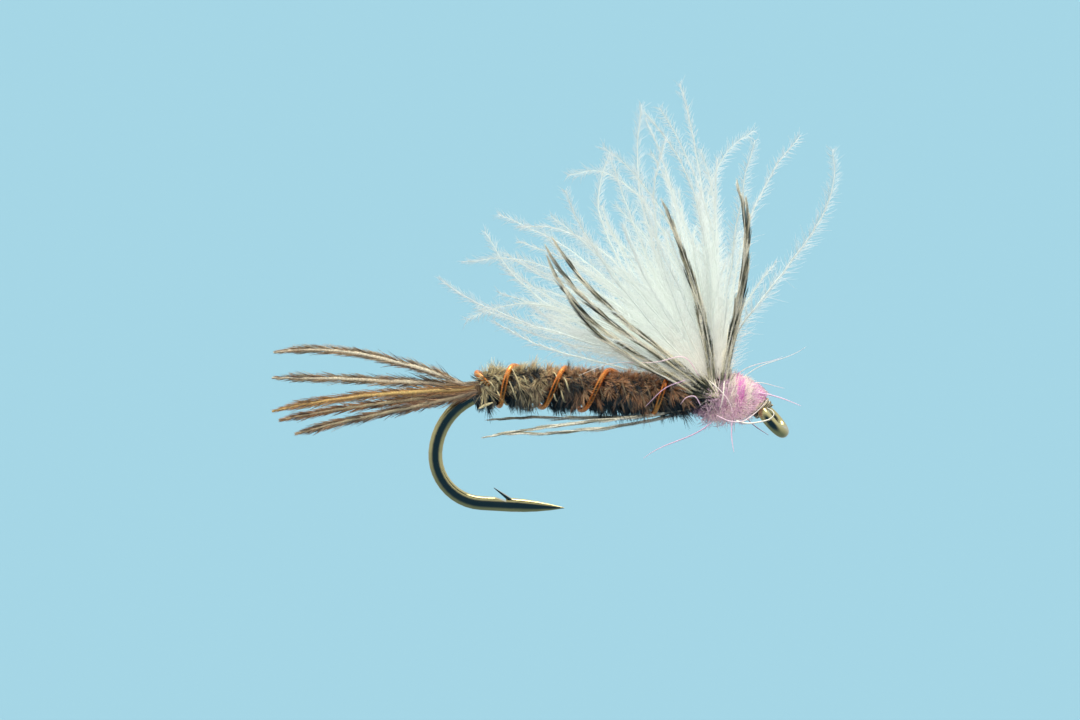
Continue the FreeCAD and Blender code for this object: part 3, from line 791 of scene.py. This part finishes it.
def herl_ends(material):
    """The clipped ends: a dark tuft and a pale strip below the body's rear, and fuzz at its front."""
    rng = draws(70)
    strip = smooth_line([(-9.8, -0.46, -0.14), (-9.58, -0.52, 0), (-9.34, -0.5, 0.1)], 12)
    strip_radii = 0.055 * np.sin(np.linspace(0.35, 2.9, 12))
    sets = [
        dark_tuft(rng, 420, (-1.55, -0.7), (95, 235), (0.42, 0, -0.8), (0.16, 0.36)),
        dark_tuft(rng, 900, (5.35, 6.45), (0, 360), (0.25, 0, -0.25), (0.14, 0.34)),
        dark_tuft(rng, 600, (5.8, 6.75), (-10, 130), (0.1, 0, 0.1), (0.14, 0.3), lift=0.14),
        tube(strip, strip_radii, HERL_OLIVE, 6, FLUE_FLATNESS),
    ]
    piece("herl_clipped_ends", sets, material, "herl")


RIB_DIVE_TURNS = 0.42
RIB_DIVE_LENGTH = 0.3
RIB_DIVE_DEPTH = 0.24


def copper_rib(material):
    """The copper wire over the herl. Its rear end comes over the top and dives under the flues."""
    share = np.linspace(0, 1, 12)[1:]
    half_turns = len(RIB_HALF_TURNS) - 1 + RIB_DIVE_TURNS * share
    station = RIB_HALF_TURNS[-1] + RIB_DIVE_LENGTH * share
    radius = underbody_radius(station) + 2 * HERL_R + RIB_R - RIB_DIVE_DEPTH * share
    line = np.vstack([rib_line(), around_shank(station, 180 * half_turns, radius)])
    line = smooth_line(line[::3], 640)
    wire = tube(line, RIB_R, np.ones(3), 12)
    piece("rib_wire_turns", [wire], material, "copper_wire", "rib_wire")


# Thorax

FUR_MAGENTA = paint(236, 128, 208)
FUR_PINK = paint(255, 218, 232)
FUR_LILAC = paint(238, 196, 222)
FUR_CREAM = paint(255, 248, 228)
FUR_MAUVE = paint(218, 168, 204)
FUR_BROWN = paint(138, 104, 84)
# the streaks of colour from the thorax's rear to its front
FUR_BANDS_X = (-2.9, -2.2, -1.8, -1.62, -1.42, -1.28, -1.12, -0.98, -0.85, -0.68, -0.5, -0.32, -0.18)
FUR_BANDS = np.array([
    FUR_MAUVE, FUR_LILAC, FUR_PINK, FUR_MAUVE, FUR_CREAM, FUR_PINK, FUR_MAGENTA,
    FUR_PINK, FUR_CREAM, FUR_MAUVE, FUR_PINK, FUR_MAGENTA, FUR_PINK,
])


def fur_tint(x, degrees, rng):
    """Streaks of pink, magenta and cream above, lilac and mauve below, with a few brown hairs; a little
    brighter on top as painted light.
    """
    count = len(x)
    place = x + 0.1 * np.sin(np.radians(3 * degrees)) + rng.normal(0, 0.035, count)
    streak = np.stack([np.interp(place, FUR_BANDS_X, channel) for channel in FUR_BANDS.T], axis=1)
    below = np.clip(0.35 - cos_of(degrees) + rng.normal(0, 0.25, count), 0, 0.85)
    colour = blend(streak, blend(FUR_LILAC, FUR_PINK, rng.random(count)), below)
    pick = rng.random(count)[:, None]
    upward = cos_of(degrees)
    creamy = 0.88 - 0.22 * clamp(upward)[:, None]
    colour = np.where(pick < 0.06, FUR_BROWN, np.where(pick > creamy, FUR_CREAM, colour))
    # painted light: hairs on top are brighter
    bright = 0.81 + 0.07 * upward + rng.uniform(-0.14, 0.14, count)
    return colour * bright[:, None]


def fur_surface(x, degrees, share=1):
    """Points on the fur ball: degrees run from the top towards the fly's right."""
    turn = np.radians(degrees)
    top = np.interp(x, FUR_X, FUR_TOP)
    bottom = np.interp(x, FUR_X, FUR_BOTTOM)
    radius = share * (bottom + (top - bottom) * (1 + np.cos(turn)) / 2)
    height = FUR_AXIS_Z + radius * np.cos(turn)
    return np.stack([x + 0 * turn, -radius * np.sin(turn), height], axis=-1)


COARSE_HAIRS = 90
LOOPS = 124
LOOPS_AT_BARB_ROOTS = 14


def both_ends_thin(steps):
    return np.interp(steps, (0, 0.2, 0.8, 1), (0.4, 1, 1, 0.3))


# how far forward the frontmost fur leans over the head
FUR_LEAN = 0.52


def forward_lean(x):
    """The share of its full forward lean that the fur has here: 1 at the front, a little back at the rear."""
    return np.clip((x + 1.75) / 1.1, -0.35, 1)


def wound_fur(rng):
    """Hairs that lie round the thorax under the others, closer in where the barbs gather; they are darker as
    painted shade under the others.
    """
    count = 1500
    steps = np.linspace(0, 1, 12)
    x = rng.uniform(-2.95, -0.7, (count, 1))
    start = rng.uniform(0, 360, (count, 1))
    turn = start + rng.uniform(70, 220, (count, 1)) * steps
    drift = rng.normal(0, 0.35, (count, 1)) * (steps - 0.5)
    near_side = cos_of(turn - 50) > 0
    bare = np.where((x < -1.85) & near_side, 0.62, 1)
    share = bare * rng.uniform(0.5, 0.8, (count, 1)) + 0.06 * np.sin(turn / 20 + x * 9)
    paths = fur_surface(np.clip(x + drift, -3, -0.65), turn, share)
    radii = rng.uniform(0.008, 0.013, (count, 1)) * both_ends_thin(steps)
    # painted shade: these under-hairs are darkened to 0.65
    return tubes(paths, radii, 0.65 * blend(FUR_MAUVE, FUR_PINK, rng.random(count)))


def standing_fur(rng):
    """Hairs combed up the sides and standing on top, which fan forward over the head."""
    count = 5600
    steps = np.linspace(0, 1, 7)
    x = np.interp(rng.random(count), (0, 0.14, 1), (-2.95, -2.05, -0.66))
    turn = rng.uniform(-180, 180, count)
    at_barb_roots = (x < -1.82) & (turn > -15) & (turn < 139) & (rng.random(count) < 0.93)
    x = np.where(at_barb_roots, x + 1.15, x)
    upper = (1 + cos_of(turn)) / 2
    swept = rng.uniform(15, 75, count) * (0.25 + 0.75 * upper)
    combed = -np.sign(turn) * np.minimum(np.abs(turn), swept)
    lean = FUR_LEAN * forward_lean(x) * (0.25 + 0.75 * upper)
    reach = rng.uniform(0.84, 1.03, count) + np.where(rng.random(count) < 0.1, 0.2, 0)
    end_x = x + lean + rng.normal(0, 0.05, count)
    curl = rng.normal(0, 0.02, (count, 1)) * (1.3 - upper[:, None])
    curl = curl * np.sin(9 * steps + 6 * x[:, None])
    along_x = x[:, None] + (end_x - x)[:, None] * steps + curl
    share = 0.55 + (reach - 0.55)[:, None] * steps**0.7
    paths = fur_surface(along_x, turn[:, None] + combed[:, None] * steps + 60 * curl, share)
    radii = rng.uniform(0.0065, 0.0115, (count, 1)) * np.interp(steps, (0, 0.6, 1), (1, 1, 0.3))
    tint = fur_tint(end_x, turn, rng)
    # painted shade: each hair is darker towards its root, deep in the fur
    tints = np.stack([tint * share for share in (0.45, 0.65, 0.85, 0.95, 1, 1, 1.05)], axis=1)
    return tubes(paths, radii, tints)


def wisps(rng):
    """Fine ends that stand off the thorax all round and blur its outline, longer low down."""
    count = 1100
    steps = np.linspace(0, 1, 8)
    x = rng.uniform(-2.25, -0.55, count)
    turn = rng.uniform(-180, 180, count)
    upper = (1 + cos_of(turn)) / 2
    beyond = np.minimum(rng.exponential(1, count), 3) * (0.06 + 0.09 * (1 - upper))
    share = 0.78 + (0.2 + beyond)[:, None] * steps
    lean = 0.3 * forward_lean(x) + rng.normal(0, 0.12, count)
    bend = rng.normal(0, 0.05, (count, 1)) * np.sin(math.pi * steps)
    swing = rng.normal(0, 16, (count, 1)) * steps**2
    along_x = x[:, None] + lean[:, None] * steps + bend
    paths = fur_surface(along_x, turn[:, None] + swing + 90 * bend, share)
    radii = rng.uniform(0.0045, 0.0075, (count, 1)) * np.interp(steps, (0, 0.6, 1), (1, 1, 0.4))
    tint = blend(fur_tint(x + lean, turn, rng), FUR_CREAM, rng.uniform(0, 0.5, count))
    return tubes(paths, radii, tint)


def coarse_fur(rng):
    """Thicker cream and magenta hairs that show as streaks on the upper half."""
    sets = []
    for _ in range(COARSE_HAIRS):
        x = rng.uniform(-1.9, -0.7)
        degrees = rng.uniform(-100, 100)
        lean = FUR_LEAN * forward_lean(x)
        share = rng.uniform(0.95, 1.12)
        along_x = np.array([x, x + 0.6 * lean, x + lean])
        course = fur_surface(along_x, np.full(3, degrees), np.array((0.5, 0.8, share)))
        course[1] += rng.normal(0, 0.04, 3)
        colour = fur_tint(along_x[-1:], np.array([degrees]), rng)[0]
        colour = blend(colour, FUR_CREAM, 0.35)
        # painted shade: each hair is a little darker at its root
        sets.append(single_hair(course, (colour * 0.8, colour), rng.uniform(0.014, 0.022), 10))
    return sets


# streaks of hairs of one colour up the sides: where each is along the fly, its colour and how many hairs
FUR_STREAKS = (
    (-1.13, FUR_MAGENTA, 40), (-1.45, FUR_CREAM, 10), (-0.88, FUR_CREAM, 14), (-0.42, FUR_MAGENTA, 22),
    (-1.66, FUR_MAUVE, 10), (-0.66, FUR_MAUVE, 12),
)


def fur_streaks(rng):
    """Hairs of one colour gathered side by side, from each side up towards the top."""
    sets = []
    steps = np.linspace(0, 1, 9)
    for place, colour, count in FUR_STREAKS:
        for side in (-1, 1):
            start = side * rng.uniform(60, 112, (count, 1))
            turn = start - side * rng.uniform(30, 80, (count, 1)) * steps
            x = place + rng.normal(0, 0.065, (count, 1)) + 0.16 * (steps - 0.5)
            share = 0.86 + 0.16 * steps + rng.normal(0, 0.02, (count, 1))
            paths = fur_surface(np.clip(x, -3, -0.25), turn, share)
            radii = rng.uniform(0.008, 0.014, (count, 1)) * both_ends_thin(steps)
            tints = blend(colour, FUR_PINK, rng.uniform(0, 0.4, count))
            tints = tints * rng.uniform(0.6, 0.9, (count, 1))
            sets.append(tubes(paths, radii, tints))
    return sets


def fur_loops(rng):
    """Curly hairs standing off the thorax in open loops, most of them low down."""
    sets = []
    steps = np.linspace(0, 1, 14)
    for number in range(LOOPS):
        at_barb_roots = number < LOOPS_AT_BARB_ROOTS
        x = rng.uniform(-2.3, -1.75) if at_barb_roots else -0.85 - 2 * rng.random()
        degrees = rng.normal(85, 14) if at_barb_roots else rng.normal(160, 50)
        centre = fur_surface(np.array([x]), np.array([degrees]), rng.uniform(0.75, 1.05))[0]
        first, second = unit(rng.normal(0, 1, (2, 3)))
        turn = np.linspace(0, rng.uniform(2.2, 5), 14)[:, None]
        size = rng.uniform(0.08, 0.2) * (1 + 0.25 * turn / 5)
        path = centre + size * (first * np.cos(turn) + second * np.sin(turn))
        radii = rng.uniform(0.007, 0.011) * np.interp(steps, (0, 0.2, 0.8, 1), (0.5, 1, 1, 0.4))
        colour = 0.7 * blend(FUR_MAUVE, FUR_PINK, rng.uniform(0.2, 1))
        sets.append(tube(path, radii, colour))
    return sets


# single hairs that stand out: each one's colours at its root and tip, its thickness and its course
FUR_STRAYS = (
    (FUR_CREAM, FUR_CREAM, 0.03, (
        (-1.25, -0.92, 0.02), (-0.9, -0.92, -0.05), (-0.5, -0.9, 0.01), (-0.16, -0.88, 0.12),
        (-0.01, -0.84, 0.27), (-0.06, -0.78, 0.4), (-0.24, -0.66, 0.48),
    )),
    (FUR_PINK, FUR_CREAM, 0.022, (
        (-1.9, -0.98, 0.16), (-1.48, -1.02, 0), (-1.07, -0.94, 0), (-0.79, -0.8, 0.15),
        (-0.49, -0.6, 0.41), (-0.24, -0.36, 0.72),
    )),
    (FUR_PINK, FUR_CREAM, 0.02, (
        (-2.55, -0.6, 1.4), (-3.1, -0.78, 2.02), (-4.05, -0.85, 1.8), (-5.5, -0.8, 1.66),
        (-6.54, -0.75, 1.2),
    )),
    (FUR_LILAC, FUR_LILAC, 0.016, ((-3, -0.72, 1.25), (-3.68, -0.82, 0.94), (-4.29, -0.84, 0.29))),
    (FUR_PINK, FUR_PINK, 0.02, (
        (-2.45, -0.85, 0.45), (-2.66, -0.9, 0.74), (-2.95, -0.86, 0.68), (-3.12, -0.8, 0.44),
    )),
    (FUR_CREAM, FUR_CREAM, 0.026, (
        (-1.72, -0.8, 1.3), (-1.73, -1.04, 0.95), (-1.76, -1.08, 0.65), (-1.83, -1.02, 0.36),
    )),
    (FUR_CREAM, FUR_PINK, 0.02, (
        (-2.23, -0.98, 1.31), (-1.75, -1.06, 0.92), (-1.48, -1.08, 0.55), (-1.32, -1, 0.12),
    )),
)


def single_hair(course, colours, thickness, count=28):
    path = smooth_line(course, count)
    places = np.linspace(0, 1, count)
    radii = thickness * np.interp(places, (0, 0.1, 0.6, 1), (0.6, 1, 0.8, 0.3))
    return tube(path, radii, blend(*colours, places), 5)


def fur_ball(material):
    """Loose fur wound on the thorax, with its loops and strays."""
    rng = draws(80)
    sets = [wound_fur(rng), standing_fur(rng), wisps(rng)]
    sets += coarse_fur(rng)
    sets += fur_streaks(rng)
    sets += fur_loops(rng)
    for root_colour, tip_colour, thickness, course in FUR_STRAYS:
        sets.append(single_hair(course, (root_colour, tip_colour), thickness))
    made = piece("thorax_fur", sets, material, "fur_dubbing", "thorax_dubbing")
    made.visible_shadow = False


def guard_hairs(material):
    """The long hairs that stand out of the fur: thick and lilac below, fine and pale above."""
    rng = draws(81)
    sets = []
    for line in centre_lines("dubbing_guard_hairs", BARB_RINGS, THORAX):
        if line[-1, 2] < FUR_AXIS_Z:
            sets.append(single_hair(line, (FUR_LILAC, FUR_PINK), 0.024))
        else:
            tip_colour = blend(FUR_CREAM, FUR_PINK, rng.random())
            sets.append(single_hair(line, (FUR_CREAM, tip_colour), 0.013))
    piece("long_guard_hairs", sets, material, "fur_dubbing", "dubbing_guard_hairs")


# Head

THREAD_BROWN = paint(82, 72, 46)
THREAD_CREAM = paint(240, 226, 190)
THREAD_R = 0.03
# points in one turn of thread
TURN_POINTS = 26
# the two layers of thread: how many turns, and how far above the CAD sleeve
HEAD_LAYERS = ((11, 0.012), (7, 0.034))
# how far past the middle of the eye's wire the thread's path ends
EYE_OVERLAP = 0.17


def head_path(count):
    """From the shank down the neck to the back of the eye."""
    drop = math.radians(EYE_DROP_DEG)
    down_neck = np.array((-math.cos(drop), 0, math.sin(drop)))
    rise = NECK_BEND_R * (1 - math.cos(drop))
    neck_end = down_neck * (SHANK_Z - rise) / math.sin(drop)
    centre = neck_end - NECK_BEND_R * np.array((math.sin(drop), 0, math.cos(drop)))
    turn = np.linspace(0, drop, 6)
    bend = centre + NECK_BEND_R * np.stack([np.sin(turn), 0 * turn, np.cos(turn)], axis=1)
    eye_rear = down_neck * (EYE_RING_R - EYE_OVERLAP)
    return smooth_line([(HEAD_X, 0, SHANK_Z), *bend, eye_rear], count)


def thread_turns(path, radii, turns, rng):
    """Thread wound round a path, each turn laid a little unevenly."""
    count = turns * TURN_POINTS
    places = np.linspace(0, 1, count)
    uneven = clamp(places + 0.012 * waver(places * turns * 2.1, rng))
    along_path = np.linspace(0, 1, len(path))
    line = np.stack([np.interp(uneven, along_path, axis) for axis in path.T], axis=1)
    along = unit(np.gradient(line, axis=0) + 1e-9)
    up = unit(np.cross(along, (0, 1, 0)))
    side = np.cross(along, up)
    angle = (2 * math.pi * turns * places)[:, None]
    radius = np.interp(uneven, np.linspace(0, 1, len(radii)), radii) + 0.008 * waver(places * 40, rng)
    return line + radius[:, None] * (up * np.cos(angle) + side * np.sin(angle))


def head(material):
    """Turns of thread that show on the head, over the sleeve that stands for the rest."""
    rng = draws(90)
    path = head_path(60)
    sets = []
    for turns, lift in HEAD_LAYERS:
        line = thread_turns(path, np.array(HEAD_RADII) + lift, turns, rng)
        creamy = clamp(0.4 + 0.7 * waver(np.arange(len(line)) * 0.3, rng))
        tint = blend(THREAD_BROWN, THREAD_CREAM, creamy)
        sets.append(tube(line, THREAD_R, tint, 6, 0.7))
    piece("head_thread_turns", sets, material, "tying_thread")


# Stage

SKY = paint(166, 214, 229)
STUDIO_ABOVE = (0.95, 1, 1)
STUDIO_BELOW = (0.2, 0.28, 0.32)
STUDIO_NEAR = (0.016, 0.05, 0.14)
FLOOR_Z = -50
FLOOR_HALF_METRES = 40
# how bright a white floor would look in this light
FLOOR_LIGHT = np.array((1.88, 1.88, 1.82))
# each lamp's direction from the fly, strength, colour, softness in degrees, and whether metal mirrors it
LAMPS = {
    "key": ((-0.45, -0.75, 1), 2.7, (1, 0.97, 0.92), 30, False),
    "top": ((0.1, 0.35, 1), 1.5, (1, 0.97, 0.9), 30, True),
    "front": ((0.55, -1, 0.15), 0.9, (1, 1, 1), 40, False),
}


def aim(made, direction):
    """Turns a lamp or the camera to look this way."""
    turn = Vector(direction).to_track_quat("-Z", "Y")
    made.rotation_mode = "QUATERNION"
    made.rotation_quaternion = turn
    return turn


def studio():
    """Pale blue behind the fly; what lights it is bright above, dim below and dark on the near side."""
    world = bpy.data.worlds.new("studio")
    bpy.context.scene.world = world
    world.use_nodes = True
    tree = world.node_tree
    place = tree.nodes.new("ShaderNodeTexCoord")
    split = tree.nodes.new("ShaderNodeSeparateXYZ")
    tree.links.new(place.outputs["Generated"], split.inputs["Vector"])
    height = map_range(tree, split.outputs["Z"], (-0.7, 0.7), (0, 1))
    farness = map_range(tree, split.outputs["Y"], (-0.75, -0.25), (0, 1))
    around = mix_colours(tree, height, STUDIO_BELOW, STUDIO_ABOVE)
    shaded = mix_colours(tree, farness, STUDIO_NEAR, around)
    seen = tree.nodes.new("ShaderNodeLightPath").outputs["Is Camera Ray"]
    behind = mix_colours(tree, seen, shaded, SKY)
    tree.links.new(behind, tree.nodes["Background"].inputs["Color"])


def lamps():
    for name, (direction, strength, colour, softness, mirrored) in LAMPS.items():
        lamp = bpy.data.lights.new(name, "SUN")
        lamp.energy = strength
        lamp.color = colour
        lamp.angle = math.radians(softness)
        made = new_object(name, lamp)
        made.visible_glossy = mirrored
        aim(made, -np.array(direction))


def floor():
    """A plain pale floor, well below the fly."""
    material, tree, shader = new_material("floor_paint")
    paint_colour = (*(SKY / FLOOR_LIGHT), 1)
    set_inputs(shader, {"Base Color": paint_colour, "Roughness": 1, "Specular IOR Level": 0})
    around = ((-1, -1), (1, -1), (1, 1), (-1, 1))
    corners = [(FLOOR_HALF_METRES * x, FLOOR_HALF_METRES * y, FLOOR_Z * MM) for x, y in around]
    mesh = bpy.data.meshes.new("floor")
    mesh.from_pydata(corners, [], [(0, 1, 2, 3)])
    mesh.materials.append(material)
    made = new_object("floor", mesh)
    made.visible_glossy = False
    made.visible_diffuse = False


# where the camera looks, how wide its view is there, its lens and sensor, and how it is held
AIM = (-7.86, 0, 1.56)
VIEW_WIDTH = 36
LENS = 150
SENSOR_WIDTH = 36
ELEVATION_DEG = 6
ROLL_DEG = 3.35


def camera():
    """Level with the fly's right side and a little above it, rolled so that the eye hangs lower."""
    lens = bpy.data.cameras.new("camera")
    lens.lens = LENS
    lens.sensor_width = SENSOR_WIDTH
    lens.clip_start = 0.005
    lens.clip_end = 200
    made = new_object("camera", lens)
    distance = VIEW_WIDTH * LENS / SENSOR_WIDTH
    tilt = math.radians(ELEVATION_DEG)
    back = Vector((0, -math.cos(tilt), math.sin(tilt)))
    made.location = (Vector(AIM) + back * distance) * MM
    turn = aim(made, -back)
    made.rotation_quaternion = Quaternion(back, math.radians(ROLL_DEG)) @ turn
    bpy.context.scene.camera = made


BRONZE_DARK = (0.5, 0.45, 0.22)
BRONZE_LIGHT = (0.62, 0.52, 0.24)


def dress(material, *nodes):
    """Gives CAD nodes this material."""
    for node in nodes:
        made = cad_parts[node]
        made.data.materials.clear()
        made.data.materials.append(material)


def main():
    bpy.context.scene.view_settings.view_transform = "Standard"
    camera()
    studio()
    lamps()
    floor()
    bronze = metal_material("hook_bronze", BRONZE_DARK, BRONZE_LIGHT, roughness=0.16, scratches=12)
    dress(bronze, "hook")
    thread = wound_material("thread", paint(60, 46, 34), paint(122, 100, 72), pitch=0.06)
    dress(thread, "thread_underbody", "thorax_thread_base", "hackle_thread_wraps")
    dress(thread, "wing_thread_wraps", "head_thread_wraps")
    down = fibre_material("down", roughness=0.6, sheen=0.2, grain=30, uneven=0.06)
    let_light_through(down)
    dress(down, "cdc_butts")
    hackle = fibre_material("speckled_feather", roughness=0.5, sheen=0.1, grain=22, uneven=0.3)
    wing(down)
    legs(hackle, down)
    tail(fibre_material("pheasant_feather", roughness=0.45, sheen=0.1, grain=20, uneven=0.3))
    fuzz = fibre_material("herl_fuzz", roughness=0.5, sheen=0.15, grain=26, uneven=0.35)
    herl(fuzz)
    herl_ends(fuzz)
    copper = metal_material("copper", paint(238, 128, 56), paint(255, 172, 92), roughness=0.26, scratches=14)
    copper_rib(copper)
    fur = fibre_material("fur", roughness=0.5, sheen=0.2, grain=20, uneven=0.15)
    fur_ball(fur)
    guard_hairs(fur)
    head(fibre_material("waxed_thread", roughness=0.5, sheen=0, grain=30, uneven=0.3))


main()
